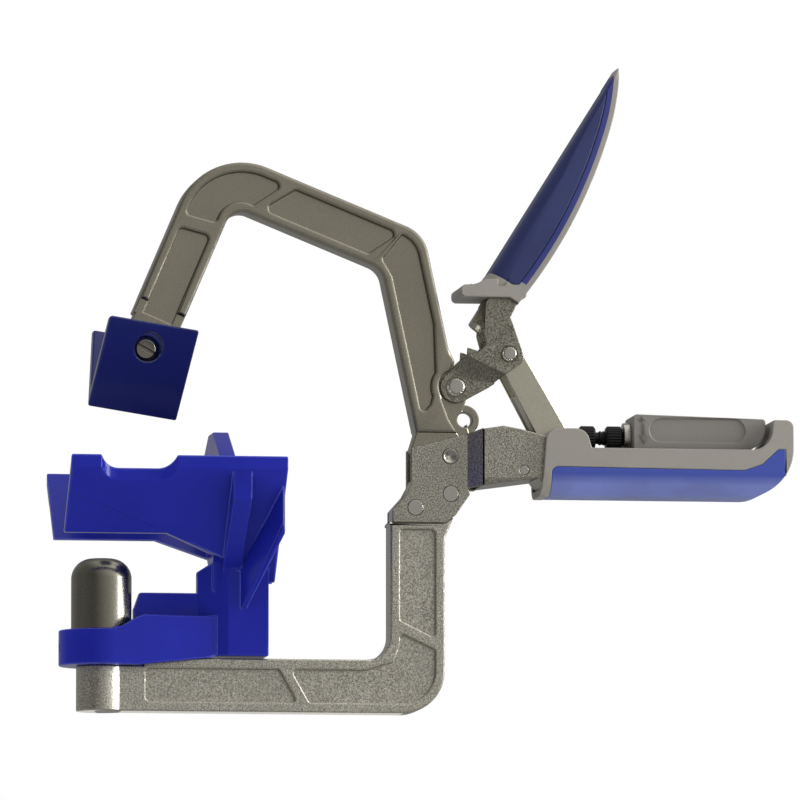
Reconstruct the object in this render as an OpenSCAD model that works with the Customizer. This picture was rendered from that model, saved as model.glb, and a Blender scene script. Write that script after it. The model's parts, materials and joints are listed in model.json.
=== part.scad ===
// Corner clamp with a self-locking toggle: a V block holds two boards at a
// right angle and a V pad on the upper jaw presses them into it.
// X runs along the handle, Z is up, Y is the thickness; the post stands at X = 0.

/* [Pivots] */
// Main pivot, distance from the post
pivot_x = 153.1; // [140:0.1:170]
// Main pivot, height
pivot_z = 113.3; // [105:0.1:125]
// Lever pivot from the main pivot, sideways
lug_dx = 2.9; // [0:0.1:6]
// Lever pivot from the main pivot, upward
lug_dz = 30.8; // [27:0.1:35]
// Link pivot from the lever pivot, sideways
knee_dx = 23; // [20:0.1:26]
// Link pivot from the lever pivot, upward
knee_dz = 14.4; // [12:0.1:17]
// Foot of the link from the main pivot, sideways
foot_dx = 53.9; // [50:0.1:58]
// Foot of the link from the main pivot, downward
foot_drop = 5.3; // [3:0.1:7]

/* [Lower jaw] */
// Thickness of both cast arms
arm_t = 16; // [12:0.5:20]
// Thickness of the arm roots between the cheeks
root_t = 12; // [9:0.5:14]
// Height of the lower arm
low_w = 23.4; // [18:0.2:28]
// Inner edge of the upright arm, from the post
throat_x = 126.7; // [110:0.1:132]
// Width of the upright arm
upright_w = 24.2; // [20:0.1:28]
// Inner corner radius
low_r_in = 10.6; // [5:0.1:15]
// Outer corner radius
low_r_out = 19; // [12:0.5:24]
// Rim left beside the pockets
rim = 4.4; // [3:0.1:6]
// Depth of the pockets
pocket_d = 2.8; // [1:0.1:4]
// Diameter of the boss under the post
boss_d = 22; // [18:0.5:24]
// Height of the boss
boss_h = 19.8; // [16:0.2:24]

/* [Post] */
// Diameter of the domed post
post_d = 26.5; // [24:0.5:30]
// Height of the top of the dome
post_top = 67; // [60:0.5:72]
// Radius of the dome's rounded edge
dome_r = 9; // [5:0.5:12]
// Diameter of the stud below the post
stud_d = 14; // [10:0.5:16]

/* [Corner block] */
// Left end of the fences, from the post
fence_left = 18.8; // [12:0.1:24]
// Right end of the fences
fence_right = 76; // [70:0.5:82]
// Half width over the fences
fence_half = 50; // [44:0.5:56]
// Thickness of the fences
fence_t = 4.2; // [3.5:0.1:6]
// Height where the inner faces would meet
vee_z = 58.8; // [56:0.1:64]
// Half gap between the lower edges of the fences
fence_gap = 18; // [14:0.5:20]
// Radius of the scallop in the upper edges
scallop_r = 8.6; // [7:0.1:12]
// Depth of the scallop, measured along the thickness of the clamp
scallop_d = 5.4; // [3:0.1:8]
// Cross web, distance from the post
web_x = 48; // [44:0.5:54]
// Thickness of the cross web
web_t = 7; // [5:0.5:10]
// Height of the cross web
web_top = 122.5; // [115:0.5:126]
// Outer radius of the base ring
ring_r = 18.7; // [16:0.1:22]
// Top of the base ring
ring_top = 35.4; // [30:0.2:40]
// Half width of the column
column_half = 11; // [8:0.5:14]
// Thickness of the gussets
gusset_t = 2.6; // [2:0.1:5]

/* [Upper jaw] */
// Width of the upper arms
arm_w = 22; // [18:0.2:26]
// Inner corner over the throat, from the post
bend_x = 56.9; // [50:0.1:64]
// Inner corner over the throat, height
bend_z = 222.2; // [210:0.2:235]
// Length of the top arm between its inner corners
top_len = 71; // [64:0.5:78]
// Direction of the front arm
front_a = 66.9; // [60:0.1:74]
// Direction of the top arm
top_a = -22; // [-28:0.1:-16]
// Direction of the rear arm
rear_a = -78; // [-84:0.1:-72]
// Distance from the inner corner to the pad's screw
pad_drop = 74.5; // [68:0.5:80]
// Radius of the arm's end in the pad
arm_end_r = 10; // [8:0.5:12]
// Thickness of the lug between the lever's ears
lug_t = 9; // [7:0.5:11]
// Spring eye from the main pivot, sideways
eye_dx = 7.1; // [5:0.1:10]
// Spring eye from the main pivot, upward
eye_dz = 16.5; // [14:0.1:19]
// Outer radius of the spring eye
eye_r = 6.6; // [5:0.1:8]
// Hole in the spring eye
eye_hole_r = 3.3; // [2.5:0.1:4]

/* [Pad] */
// Width of the pad along the corner
pad_w = 39.5; // [30:0.5:48]
// Height of the pad
pad_h = 37; // [32:0.5:40]
// Thickness of the pad's wings
pad_t = 7; // [5:0.5:9]
// Height of the screw above the pad's edge
pad_pivot = 27.4; // [24:0.2:29]
// Tilt of the pad at rest
pad_tilt = 9; // [0:0.5:14]
// Half width of the pad's hub
hub_half = 13; // [10:0.5:16]
// Radius of the pad's screw
pad_screw_r = 2.5; // [2:0.1:3.5]
// Radius of the screw's head
pad_head_r = 4.2; // [3.5:0.1:5]

/* [Stamped body] */
// Thickness of the stamped sheet
sheet = 2.5; // [1.5:0.1:3]
// Half width inside the handle channel
chan_in = 12.6; // [11.5:0.1:14]
// Where the cheeks start to step outward, from the main pivot
step_dx = 7.8; // [6:0.1:9]
// Length of the step
step_len = 6; // [4:0.1:8]
// Underside of the channel inside the grip
chan_z = 99.4; // [97:0.1:101]
// Right end of the channel, from the post
chan_end = 288; // [270:1:295]
// Radius of the main pivot pin
pin_r = 3.4; // [2.5:0.1:4.5]
// Radius of the frame rivets
rivet_r = 3.4; // [2.5:0.1:4]

/* [Handle grip] */
// Left end of the grip, from the post
grip_x0 = 192.4; // [188:0.2:196]
// Length of the grip's tail past the channel
tail_len = 16.6; // [14:0.2:22]
// Thickness of the grip under the channel
grip_under = 3.6; // [2.6:0.1:5]
// Height of the grip's walls over the channel's underside
wall_h = 17.6; // [15:0.2:18]
// Height of the hump over the channel's underside
hump_h = 26; // [22:0.2:28]
// Right end of the hump
hump_x = 214.6; // [208:0.2:218]
// Height of the tail over the channel's underside
tail_h = 30.8; // [26:0.2:34]
// Half width of the grip
grip_half = 18.6; // [17.5:0.1:21]
// Rounding of the grip's lower edges
grip_r = 11; // [6:0.5:13]
// Depth of the blue insert
inlay_d = 1.6; // [1:0.1:2]
// Height of the blue insert over the channel's underside
inlay_h = 9.2; // [5:0.2:11]

/* [Adjuster] */
// Height of the adjusting screw over the channel's underside
screw_h = 23.4; // [22:0.1:26]
// Radius over the thread
screw_r = 3.2; // [2.5:0.1:3.6]
// Depth of the thread
thread_d = 0.5; // [0.2:0.05:0.7]
// Pitch of the thread
pitch = 1.5; // [1:0.1:2.5]
// Left face of the thumb wheel, from the post
wheel_x = 211.6; // [208:0.1:214]
// Length of the thumb wheel
wheel_len = 7; // [5:0.1:8]
// Radius of both wheels
wheel_r = 5.4; // [4.6:0.1:6]
// Left face of the lock wheel, from the post
lock_x = 223.4; // [222:0.1:225]
// Length of the lock wheel
lock_len = 7.2; // [5:0.1:7.6]
// Radius of the bright collar
collar_r = 6.8; // [6:0.1:7.5]
// Left end of the cover, from the post
cover_x0 = 234.2; // [233:0.1:238]
// Length of the cover past the channel
cover_over = 5; // [3:0.2:6]
// Height of the cover over the channel's underside
cover_h = 33.2; // [31:0.1:36]
// Half width of the cover
cover_half = 12.2; // [9.5:0.1:12.2]
// Depth of the recess in the cover
recess_d = 1; // [0.5:0.1:2]

/* [Lever and link] */
// Half width inside the lever's cheeks at the link
lever_in = 9.7; // [9.2:0.1:9.9]
// Radius of the lever's lobes
lobe_r = 7; // [6:0.1:8]
// Radius of the lever's rivet
lug_pin_r = 3.2; // [2.5:0.1:4]
// Radius of the link's rivets
knee_pin_r = 2.8; // [2:0.1:3.2]
// Direction of the lever's grip
lever_a = 58; // [52:0.5:64]
// Length of the lever's grip
lever_len = 113; // [100:0.5:120]
// Half width of the lever's grip
lever_half = 15.4; // [14:0.2:17]
// Grey rim at the tip of the lever's grip
tip_rim = 2.6; // [2:0.1:5]
// Radius of the grip's curved underside
lever_arc = 230; // [200:1:280]
// Radius of the same curve near the tip
tip_arc = 110; // [90:1:150]
// Where the tip's curve begins, along the grip
tip_u = 85; // [78:0.5:92]
// Outer face of the link plates
link_out = 9.4; // [8.5:0.1:9.5]
// Radius of the link's upper end
link_r1 = 5.6; // [4.5:0.1:6.5]
// Radius of the link's foot
link_r2 = 6.8; // [5.5:0.1:7]
// Height of the lever's folded back over the grip's axis
back_v = 4.5; // [3:0.1:5.5]

/* [Spring] */
// Radius of the spring's coil
coil_r = 3.2; // [2.5:0.1:3.6]
// Wire diameter
wire_d = 1.1; // [0.8:0.1:1.4]
// Number of turns
turns = 8; // [5:1:10]

/* [Fits] */
// Running clearance on pins, on the radius
run = 0.05; // [0.02:0.01:0.09]
// Side clearance beside moving plates
side = 0.2; // [0.1:0.05:0.25]
// Seat clearance between fixed pieces
seat = 0.06; // [0.03:0.01:0.1]

/* [Hidden] */
$fn = 64;
p0 = [pivot_x, pivot_z];
p1 = p0 + [lug_dx, lug_dz];
p2 = p1 + [knee_dx, knee_dz];
p3 = p0 + [foot_dx, -foot_drop];
eye = p0 + [eye_dx, eye_dz];
close_a = 21;
lever_turn = 78.5;
foot_travel = 15.6;
cheek_in = root_t / 2 + side;
cheek_out = cheek_in + sheet;
chan_out = chan_in + sheet;
step_x = pivot_x + step_dx;
step_x2 = step_x + step_len;
riv_a = p0 + [0.2, -16.6];
riv_b = p0 + [-15.4, -22.8];
upright_x = throat_x + upright_w;
bend_b = [bend_x, bend_z] + top_len * dir(top_a);
out_a = outer_corner([bend_x, bend_z], front_a + 90, top_a + 90, arm_w);
out_b = outer_corner(bend_b, top_a + 90, rear_a + 90, arm_w);
mid_a = [bend_x, bend_z] + arm_w / 2 * dir(front_a + 90);
pp = mid_a - pad_drop * dir(front_a);
ear_in = lug_t / 2 + side;
ear_out = ear_in + sheet;
lever_out = lever_in + sheet;
link_in = link_out - sheet;
block_half = link_in - side;
anchor = [pivot_x + 32, chan_z + 7.6];
grip_x1 = chan_end + tail_len;
cover_x1 = chan_end + cover_over;
grip_z = chan_z - grip_under;
wall_z = chan_z + wall_h;
hump_z = chan_z + hump_h;
tail_z = chan_z + tail_h;
inlay_z = chan_z + inlay_h;
screw_z = chan_z + screw_h;
cover_z = chan_z + cover_h;
grip_o = p1 + [21, 42.5];
fence_top = vee_z - fence_t * sqrt(2) + fence_half;

function dir(a) = [cos(a), sin(a)];
function unit(v) = v / norm(v);
function heading(v) = atan2(v[1], v[0]);
// Corner of two edges moved outward by w along their normals
function outer_corner(c, n1, n2, w) = c + w * (dir(n1) + dir(n2)) / (1 + cos(n1 - n2));

// Plate in the side view, between two depths
module slab(y0, y1) {
    translate([0, y1, 0])
        rotate([90, 0, 0])
            linear_extrude(height = y1 - y0)
                children();
}

// The same plate on both sides of the middle
module pair(y0, y1) {
    slab(y0, y1) children();
    slab(-y1, -y0) children();
}

// Cylinder across the clamp at a point of the side view
module rod(p, r, y0, y1) {
    translate([p[0], y1, p[1]])
        rotate([90, 0, 0])
            cylinder(r = r, h = y1 - y0);
}

// Cylinder along the handle
module bar(x0, x1, z, r) {
    translate([x0, 0, z])
        rotate([0, 90, 0])
            cylinder(r = r, h = x1 - x0);
}

// What a round corner takes off, or what a fillet adds
module kite(c, a1, a2, r) {
    b = unit(dir(a1) + dir(a2));
    h = acos(dir(a1) * dir(a2)) / 2;
    o = c + r / sin(h) * b;
    difference() {
        polygon([c - 0.6 * b, c + r / tan(h) * dir(a1), o, c + r / tan(h) * dir(a2)]);
        // A hair over the tangent radius, so that arc and sides cross cleanly
        translate(o) circle(r = r + 0.012);
    }
}

// A flat shape with its corners rounded off, one radius for each corner
module eased(pts, radii) {
    n = len(pts);
    difference() {
        polygon(pts);
        for (i = [0 : n - 1])
            if (radii[i] > 0)
                kite(pts[i], heading(pts[(i + n - 1) % n] - pts[i]), heading(pts[(i + 1) % n] - pts[i]), radii[i]);
    }
}

// Turns the side view about a point
module turned(p, a) {
    translate(p) rotate(a) translate(-p) children();
}

// Outline of the body's cheeks beside the jaws
module cheek_outline(c) {
    polygon([
        p0 + [-17.4 - c, 3.4 + c], p0 + [5, 9.2 + c], [step_x + c, pivot_z + 9.8 + c],
        [step_x + c, pivot_z - 14 - c], p0 + [9 + c, -16.5], p0 + [2.4 + c, -26], [upright_x + c, pivot_z - 29.4 - c],
        [throat_x + 0.8 - c, pivot_z - 29.4 - c], [throat_x + 0.8 - c, pivot_z - 24 + c], p0 + [-19.8 - c, -17.5 + c],
        p0 + [-17.4 - c, -13 + c]
    ]);
}

// Lower jaw: arm outline with its round corners
module low_outline() {
    difference() {
        union() {
            translate([0, 0]) square([upright_x, low_w]);
            translate([throat_x, 0]) square([upright_w, pivot_z - 29]);
            translate([throat_x - low_r_in, low_w - 1])
                difference() {
                    square([low_r_in + 1, low_r_in + 1]);
                    translate([0, low_r_in + 1]) circle(r = low_r_in);
                }
            polygon([[throat_x + 1, pivot_z - 32], [upright_x, pivot_z - 36], p0 + [2, -26], p0 + [8.6, -16.5],
                p0 + [8.6, -10.5], p0 + [-16.6, -10.5], p0 + [-19, -17.5], [throat_x + 1, pivot_z - 24]]);
        }
        kite([upright_x, 0], 180, 90, low_r_out);
        translate(p0) circle(r = 12.4);
    }
}

module low_pockets() {
    x0 = throat_x + rim;
    x1 = upright_x - rim;
    z0 = rim;
    z1 = low_w - rim - 0.4;
    top = pivot_z - 32.5;
    eased([[x0, top], [x1, top], [x1, 33.3], [x0, 41]], [2, 2, 1.4, 1.6]);
    eased([[x0, 35.2], [x1, 27.9], [x1, z0], [91, z0], [83, z1], [throat_x - low_r_in, z1],
        [x0 - 3, z1 + 3.6], [x0, z1 + 11]], [1.4, 1.4, low_r_out - rim, 1.6, 1.6, 0, 0, 0]);
    eased([[18.8, z0], [85.5, z0], [77.5, z1], [18.8, z1]], [2, 1.6, 1.4, 2]);
}

module lower_jaw() {
    color("Silver")
        difference() {
            union() {
                slab(-arm_t / 2, arm_t / 2) low_outline();
                cylinder(d = boss_d, h = boss_h);
            }
            translate([0, 0, boss_h]) cylinder(r = ring_r + 0.5, h = 40);
            pair(arm_t / 2 - pocket_d, arm_t) low_pockets();
            pair(root_t / 2, arm_t) cheek_outline(0.25);
            translate([0, 0, 4]) cylinder(d = stud_d + 2 * seat, h = boss_h);
            for (p = [riv_a, riv_b])
                rod(p, rivet_r - 0.6 + seat, -arm_t, arm_t);
        }
}

// Domed post with the stud that clamps the block's ring
module corner_post() {
    color("Silver") {
        rotate_extrude()
            difference() {
                union() {
                    translate([0, ring_top + seat]) square([post_d / 2, post_top - ring_top - seat]);
                    translate([0, 4 + seat]) square([stud_d / 2, ring_top]);
                }
                kite([post_d / 2, post_top], 180, -90, dome_r);
            }
        difference() {
            translate([0, 0, post_top - 2]) cylinder(r = post_d / 2 - dome_r, h = 2);
            translate([0, 0, post_top - 3]) cylinder(r = 1, h = 0.5);
        }
    }
}

// Corner block: section of one fence wing, seen along the corner
module wing_section() {
    d = fence_t * sqrt(2);
    polygon([[-fence_half, fence_top], [-fence_half, fence_top + d], [-4, vee_z + 4], [-4, vee_z + 4 - d]]);
}

// Thin layer of a wing's outer face, seen along the corner
module face_layer(t) {
    z = vee_z - (fence_t - t) * sqrt(2);
    polygon([[-fence_half - 5, z + fence_half + 5], [-4, z + 4], [-4, z - 14],
        [-fence_half - 5, z + fence_half - 13]]);
}

// Stands a section up along X
module along_x(x0, x1) {
    translate([x0, 0, 0])
        rotate([90, 0, 90])
            linear_extrude(height = x1 - x0)
                children();
}

module fence_wing() {
    low = vee_z + fence_gap;
    sx = pp[0] - 6.6;
    difference() {
        intersection() {
            along_x(-fence_left, fence_right) wing_section();
            slab(-90, 0)
                polygon([[-fence_left, 200], [fence_right, 200], [fence_right, vee_z - 6], [web_x + 6.5, vee_z - 6],
                    [web_x + 5.5, low - 10.8], [web_x - 22, low], [-fence_left, low]]);
        }
        // Scallop for the jaw's screw
        for (s = [-1, 1])
            translate([sx + s * 8.5, -fence_half + scallop_d - scallop_r, 0])
                cylinder(r = scallop_r, h = 200);
        translate([sx - 8.5, -fence_half - 10 + scallop_d, 0]) cube([17, 10, 200]);
        // The lower corner of the outer face lies a little deeper
        intersection() {
            along_x(-fence_left - 1, web_x) face_layer(0.6);
            slab(-90, 0)
                polygon([[-fence_left - 2, low + 17], [web_x - 22, low + 0.4], [web_x - 22, low - 9],
                    [-fence_left - 2, low - 9]]);
        }
    }
}

// Fin across the vee, which stops the ends of the boards
module cross_web() {
    e = fence_half - 4;
    intersection() {
        translate([web_x, -e, 0]) cube([web_t, 2 * e, 140]);
        along_x(0, 120)
            polygon([[-8, web_top], [8, web_top], [e, vee_z + e - 1], [e, vee_z + e - 4], [8, vee_z + 5], [8, vee_z - 6],
                [-8, vee_z - 6], [-8, vee_z + 5], [-e, vee_z + e - 4], [-e, vee_z + e - 1]]);
    }
}

// Rib under a wing, in line with the fin
module wing_rib() {
    e = fence_half - 1;
    intersection() {
        translate([web_x + 4, -e, 0]) cube([web_t + 1.4, e, 140]);
        along_x(0, 120)
            polygon([[-6, vee_z + 3], [-e, vee_z + e - 3], [-e, vee_z + e - 18], [-12, vee_z + 4],
                [-6, vee_z - 2.5]]);
    }
}

// Gusset from the column to the outer corner of a wing
module gusset() {
    a = [web_x + 12, -8];
    b = [fence_right, -fence_half + 7];
    n = gusset_t / 2 * unit([a[1] - b[1], b[0] - a[0]]);
    intersection() {
        linear_extrude(height = 140)
            polygon([a - n, b - n, [fence_right, b[1] + n[1] + 3], a + n]);
        along_x(0, fence_right)
            polygon([[-4, vee_z - 3], [-fence_half, fence_top + 1], [-fence_half, fence_top - 15],
                [-43, fence_top - 23.4], [-11, vee_z - 14], [-4, vee_z - 14]]);
    }
}

// Base arm from the ring to the column, with a skirt on each side of the jaw
module base_arm() {
    q = [web_x + 2, column_half - 2.4];
    th = atan2(q[1], q[0]) + acos(ring_r / norm(q));
    t = (ring_r - 0.1) * dir(th);
    difference() {
        intersection() {
            linear_extrude(height = 60)
                polygon([[0, -6], [t[0], -t[1]], [q[0], -q[1]], q, t, [0, 6]]);
            slab(-30, 30)
                polygon([[-2, boss_h], [15, boss_h], [web_x + 8, low_w + 0.9], [web_x + 8, 41.8], [17, 41.8],
                    [12, 39.6], [7, 36.6], [-2, ring_top]]);
        }
        translate([0, -arm_t / 2 - 0.8, 0]) cube([100, arm_t + 1.6, low_w + 0.9]);
    }
}

module block_half_solids() {
    fence_wing();
    wing_rib();
    gusset();
}

module corner_block() {
    color("RoyalBlue")
        difference() {
            union() {
                difference() {
                    union() {
                        // Column
                        translate([0, 0, low_w + 0.9])
                            linear_extrude(height = vee_z - low_w + 6)
                                polygon([[42, -3], [web_x + 6.5, -column_half], [fence_right - 3.5, -column_half],
                                    [fence_right - 3.5, column_half], [web_x + 6.5, column_half], [42, 3]]);
                        // Base arm, central rib and ring
                        base_arm();
                        slab(-3, 3)
                            polygon([[post_d / 2 - 1, 40], [44, 40], [44, 52.2], [post_d / 2 + 3.4, 52.2],
                                [post_d / 2 + 1.2, 46]]);
                        translate([0, 0, boss_h]) cylinder(r = ring_r, h = ring_top - boss_h);
                    }
                    // The vee itself
                    along_x(-50, 120) polygon([[0, vee_z], [80, vee_z + 80], [-80, vee_z + 80]]);
                    // Room round the post above the ring
                    translate([0, 0, ring_top]) cylinder(r = post_d / 2 + 1, h = 60);
                }
                block_half_solids();
                mirror([0, 1, 0]) block_half_solids();
                cross_web();
            }
            translate([0, 0, boss_h - 1]) cylinder(d = stud_d + 2 * seat, h = 30);
            bar(-ring_r - 1, -4, (boss_h + ring_top) / 2, 2 + seat);
        }
}

module set_screw() {
    color("DimGray")
        difference() {
            bar(-ring_r + 0.6, -stud_d / 2 - seat, (boss_h + ring_top) / 2, 2);
            translate([-ring_r, 0, (boss_h + ring_top) / 2])
                rotate([0, 90, 0])
                    cylinder(r = 1.2, h = 3, $fn = 6);
        }
}

// Upper jaw: arm outline with its round bends
module jaw_outline() {
    c = [bend_x, bend_z];
    foot = bend_b + 74 * dir(rear_a);
    difference() {
        union() {
            difference() {
                polygon([pp + arm_w / 2 * dir(front_a + 90), out_a, out_b, out_b + 52 * dir(rear_a),
                    p1 + [6, -2], eye + [-1, 4], p0 + [11.4, 4], p0, p0 + [-17.2, 2.6], foot, bend_b, c,
                    pp - arm_w / 2 * dir(front_a + 90)]);
                kite(out_a, front_a + 180, top_a, arm_w + 8);
                kite(out_b, top_a + 180, rear_a, 16);
            }
            kite(c, front_a + 180, top_a, 8);
            kite(bend_b, top_a + 180, rear_a, 9.2);
            translate(p0) circle(r = 11.8);
            translate(p1) circle(r = 6.4);
            polygon([p0 + [-17.2, 2.6], p0 + [-9.2, -6.8], p0 + [9, 7]]);
            translate(pp) circle(r = arm_w / 2);
        }
        // The end in the pad is narrower than the arm
        difference() {
            translate(pp) circle(r = arm_w);
            translate(pp) circle(r = arm_end_r);
            turned(pp, front_a)
                translate(pp + [0, -arm_w]) square([60, 2 * arm_w]);
        }
        turned(pp, front_a)
            for (s = [-1, 1])
                translate(pp + [-4, s > 0 ? arm_end_r : -arm_end_r - 10]) square([18, 10]);
    }
}

module jaw_pockets() {
    f = dir(front_a);
    fn = dir(front_a + 90);
    t = dir(top_a);
    tn = dir(top_a + 90);
    r = dir(rear_a);
    rn = dir(rear_a + 90);
    c = [bend_x, bend_z];
    w = arm_w;
    // Front arm
    eased([pp + 16 * f + (w / 2 - rim) * fn, mid_a - 18 * f + (w / 2 - rim) * fn,
        mid_a - 16 * f - (w / 2 - rim) * fn, pp + 16 * f - (w / 2 - rim) * fn], [0, 2, 2, 0]);
    // Bend
    ci = outer_corner(c, front_a + 90, top_a + 90, rim);
    eased([c - 9 * f + rim * fn, c - 11 * f + (w - rim) * fn, outer_corner(out_a, front_a - 90, top_a - 90, rim),
        c + 17 * t + (w - rim) * tn, c + 8 * t + rim * tn, ci], [1.4, 1.4, w + 8 - rim, 2, 1, 0]);
    kite(ci, front_a + 180, top_a, 6.6 + rim);
    // Top arm
    eased([c + 13 * t + rim * tn, c + 23 * t + (w - rim) * tn, bend_b + 1 * t + (w - rim) * tn,
        bend_b - 8 * t + rim * tn], [2, 1.4, 2, 1.4]);
    // Rear arm
    co = outer_corner(out_b, top_a - 90, rear_a - 90, rim);
    run_in = (16 - rim) * tan((top_a - rear_a) / 2) + 0.3;
    difference() {
        eased([bend_b - 1 * t + rim * tn, co - run_in * t, co, out_b + 40 * r - rim * rn, out_b + 66 * r - 9 * rn,
            out_b + 74 * r - 13 * rn, bend_b + 66 * r + rim * rn, bend_b + 4 * r + rim * rn],
            [1.4, 0, 16 - rim, 0, 0, 0, 1.4, 0]);
        translate(p1) circle(r = lobe_r + 4.4);
    }
}

// Lever: ear outline beside the lug
module ear_outline(c) {
    translate(p1) circle(r = lobe_r + c);
    polygon([p1 + [-4.2 - c, 5.6 + c], p1 + [0.4 - c, 10.3 + c], p1 + [17 + c, 2 + c], p1 + [17, 1.4 - c],
        p1 + [3.7, -5.9 - c]]);
}

module upper_jaw() {
    color("Silver")
        difference() {
            union() {
                slab(-arm_t / 2, arm_t / 2) jaw_outline();
                rod(eye, eye_r, -3, 3);
                slab(-3, 3) polygon([eye + [-6, 4], eye + [5.6, 3], p0 + [10.6, 4], p0 + [0, 4]]);
            }
            pair(arm_t / 2 - pocket_d, arm_t) jaw_pockets();
            // Room for the cheeks and for the lever's ears through the whole travel
            pair(root_t / 2, arm_t)
                intersection() {
                    translate(p0) circle(r = 18.4);
                    translate(p0 + [-30, -40]) square([60, 50.4]);
                }
            pair(lug_t / 2, arm_t)
                union() {
                    translate(p1) circle(r = lobe_r + 0.6);
                    polygon([p1 + [-4.4, 5], p1 + [0, 12], p1 + [30, 12], p1 + [30, -26], p1 + [2.6, -26], p1 + [1.4, -21.6],
                        p1 + [-3.2, -14.4], p1 + [-6.4, -5.6]]);
                }
            // The end in the pad is thinner
            pair(root_t / 2, arm_t)
                difference() {
                    translate(pp) circle(r = 25);
                    translate(pp + 21 * dir(front_a) - 40 * dir(front_a + 90)) rotate(front_a) square([40, 80]);
                }
            rod(p0, pin_r + run, -arm_t, arm_t);
            rod(p1, lug_pin_r + run, -arm_t, arm_t);
            rod(eye, eye_hole_r, -arm_t, arm_t);
            rod(pp, pad_screw_r + run, -arm_t, arm_t);
        }
}

// Places something in the pad's own tilted frame, with the screw at the origin
module at_pad() {
    translate([pp[0], 0, pp[1]]) rotate([0, pad_tilt, 0]) children();
}

module pad() {
    e = pad_pivot;
    color("RoyalBlue")
        at_pad()
            difference() {
                union() {
                    along_x(-pad_w / 2, pad_w / 2)
                        polygon([[0, -e], [pad_h, pad_h - e], [pad_h - pad_t * 1.2, pad_h - e],
                            [0, pad_t * 1.2 - e], [-pad_h + pad_t * 1.2, pad_h - e], [-pad_h, pad_h - e]]);
                    along_x(-pad_w / 4, pad_w / 4)
                        polygon([[-3, 4 - e], [3, 4 - e], [hub_half + 5, 22 - e], [hub_half, pad_h - e - 1],
                            [-hub_half, pad_h - e - 1], [-hub_half - 5, 22 - e]]);
                }
                translate([-pad_w, -root_t / 2 - 0.3, -arm_end_r - 1])
                    cube([2 * pad_w, root_t + 0.6, 60]);
                rod([0, 0], pad_screw_r + seat, -60, 60);
                rod([0, 0], pad_head_r + 1.8, -60, -hub_half + 1);
                rod([0, 0], pad_head_r + 1.8, hub_half - 1, 60);
            }
}

module pad_screw() {
    y0 = -hub_half + 1;
    color("LightGray")
        at_pad()
            difference() {
                union() {
                    rod([0, 0], pad_screw_r, y0 - 0.5, hub_half + 4);
                    rod([0, 0], pad_head_r, y0 - 4, y0 - seat);
                }
                rotate([0, 20, 0])
                    translate([-pad_head_r - 1, y0 - 5, -0.6])
                        cube([2 * pad_head_r + 2, 2.2, 1.2]);
            }
}

module pad_nut() {
    color("LightGray")
        at_pad()
            difference() {
                translate([0, hub_half - 1 + seat, 0])
                    rotate([-90, 0, 0])
                        cylinder(r = pad_head_r + 0.6, h = 3.6, $fn = 6);
                rod([0, 0], pad_screw_r + seat, 0, 40);
            }
}

// Stamped body: cheek plates, step, and the folded channel
module handle_channel() {
    z1 = pivot_z + 9.8;
    z0 = pivot_z - 14;
    color("Silver")
        difference() {
            union() {
                pair(cheek_in, cheek_out) cheek_outline(0);
                for (s = [-1, 1])
                    hull() {
                        translate([step_x - 0.2, s > 0 ? cheek_in : -cheek_out, z0]) cube([0.2, sheet, z1 - z0]);
                        translate([step_x2, s > 0 ? chan_in : -chan_out, z0 + 0.6]) cube([0.2, sheet, z1 - z0 + 1.6]);
                    }
                intersection() {
                    difference() {
                        slab(-chan_out, chan_out) channel_outline();
                        slab(-chan_in, chan_in)
                            translate([0, sheet])
                                polygon([[step_x, z0], [step_x2 + 0.2, z0 + 0.8], [grip_x0 - 1, chan_z + 4.2],
                                    [grip_x0 + 2, chan_z], [chan_end + 9, chan_z], [chan_end + 9, 160],
                                    [step_x, 160]]);
                    }
                    along_x(step_x, chan_end + 20)
                        difference() {
                            translate([-chan_out, chan_z - 4]) square([2 * chan_out, 60]);
                            kite([-chan_out, chan_z], 0, 90, 4.5);
                            kite([chan_out, chan_z], 180, 90, 4.5);
                        }
                }
            }
            rod(p0, pin_r + seat, -40, 40);
            for (p = [riv_a, riv_b])
                rod(p, rivet_r + seat, -40, 40);
            rod(anchor, 2 + seat, -40, 40);
            for (x = [cover_x0 + 12, cover_x1 - 18])
                rod([x, wall_z - 8], 1.6 + seat, -40, 40);
            // Slot in the floor for the foot of the link
            translate([p3[0] - link_r2 - 1.5, -link_out - 0.8, chan_z - 1])
                cube([foot_travel + 2 * link_r2 + 3, 2 * link_out + 1.6, sheet + 1.5]);
        }
}

module channel_outline() {
    z0 = pivot_z - 14;
    polygon([[step_x2, z0 + 0.8], [step_x2, pivot_z + 11.8], [step_x2 + 9, pivot_z + 13.2],
        [step_x2 + 18, pivot_z + 11.6], [grip_x0 + 3, hump_z - 3.4], [hump_x - 6, hump_z - 3.4],
        [hump_x - 4, wall_z - 2], [chan_end, wall_z - 2], [chan_end, chan_z], [grip_x0 + 2, chan_z],
        [grip_x0 - 1, chan_z + 4.2]]);
}

module frame_rivets() {
    color("LightGray")
        for (p = [riv_a, riv_b]) {
            rod(p, rivet_r - 0.6, -cheek_in, cheek_in);
            rod(p, rivet_r, cheek_in, cheek_out + 0.25);
            rod(p, rivet_r, -cheek_out - 0.25, -cheek_in);
        }
}

module main_pivot_pin() {
    y = cheek_out + 0.4;
    color("LightGray")
        difference() {
            rod(p0, pin_r, -y, y);
            for (s = [-1, 1])
                translate([p0[0], s * (y - 1.5), p0[1]])
                    rotate([-90 * s, 0, 0])
                        cylinder(r1 = 0.8, r2 = pin_r - 0.5, h = 1.6);
        }
}

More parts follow.
